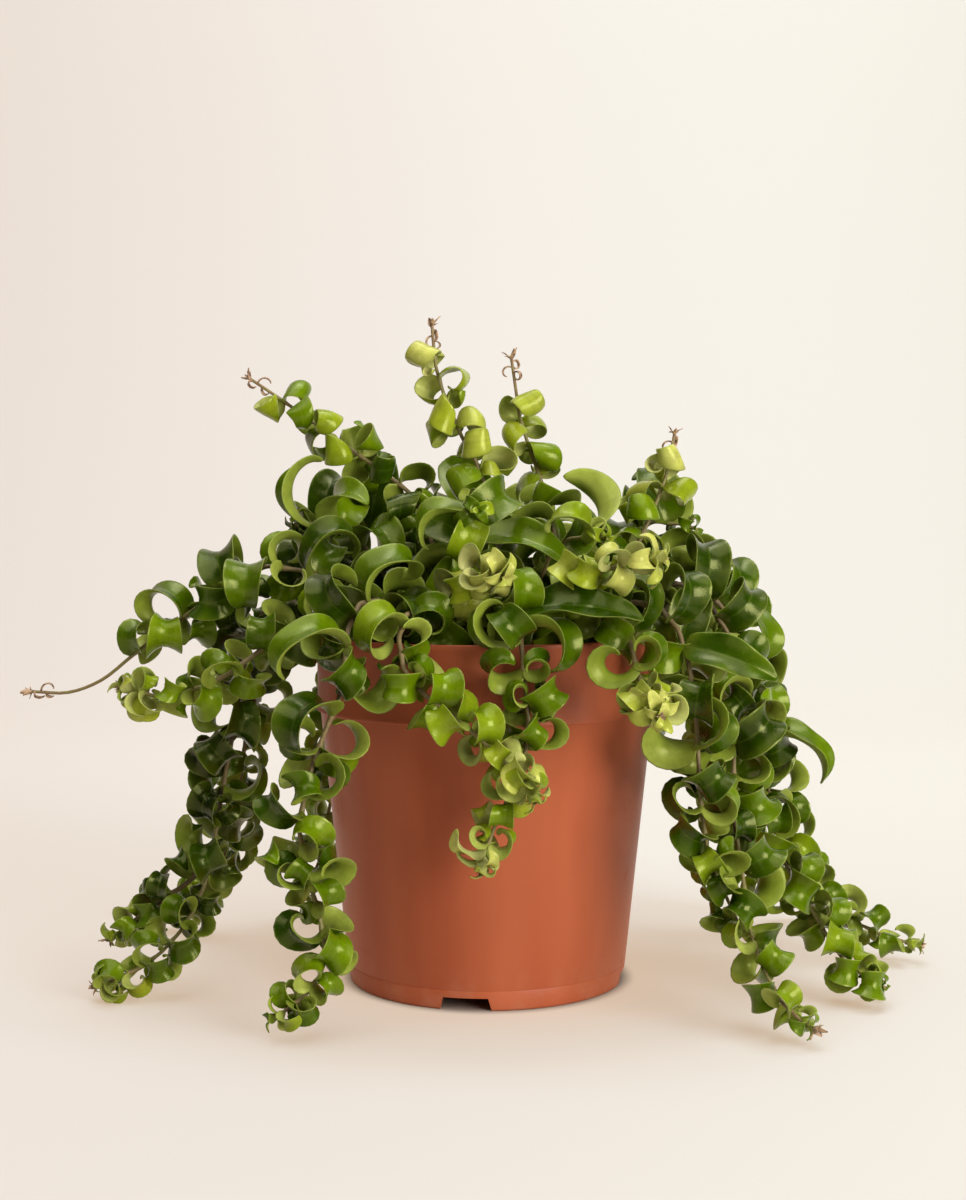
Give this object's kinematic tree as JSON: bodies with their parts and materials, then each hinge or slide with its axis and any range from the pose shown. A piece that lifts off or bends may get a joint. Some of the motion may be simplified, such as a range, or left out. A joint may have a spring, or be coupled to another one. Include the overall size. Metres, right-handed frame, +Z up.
{
  "type": "potted lipstick plant",
  "caption": "Trailing plant with curled glossy leaves on thin stems, rooted in soil in a terracotta-coloured plastic nursery pot with a banded rim and a notched foot.",
  "frame": {"origin": "on the surface that the pot stands on, under the middle of the pot", "axes": "+Z up out of the pot; the front of the picture faces -Y; +X to the right seen from the front"},
  "size_m": [0.3951, 0.2301, 0.2871],
  "materials": {
    "pot_plastic": "satin",
    "soil": "matte",
    "foliage": "gloss"
  },
  "bodies": {
    "root": {"pot": "pot_plastic", "soil": "soil", "stem_front_left": "foliage", "stem_front_diagonal": "foliage", "stem_front_middle": "foliage", "stem_front_right": "foliage", "stem_left_low": "foliage", "stem_left_long": "foliage", "stem_left_hanging": "foliage", "stem_upper_left": "foliage", "stem_upper_middle_left": "foliage", "stem_upper_middle_right": "foliage", "stem_upper_right": "foliage", "stem_yellow_right": "foliage", "stem_yellow_middle": "foliage", "stem_right_front": "foliage", "stem_right_middle": "foliage", "stem_right_back": "foliage", "stem_right_short": "foliage", "stem_crown_middle": "foliage", "stem_crown_front_right": "foliage", "stem_crown_left": "foliage", "stem_crown_right": "foliage", "stem_crown_back_left": "foliage", "stem_crown_back": "foliage", "stem_back_left_side": "foliage", "stem_back_left": "foliage", "stem_back_middle_left": "foliage", "stem_back_middle_right": "foliage", "stem_back_right": "foliage", "stem_back_right_side": "foliage"}
  },
  "joints": []
}
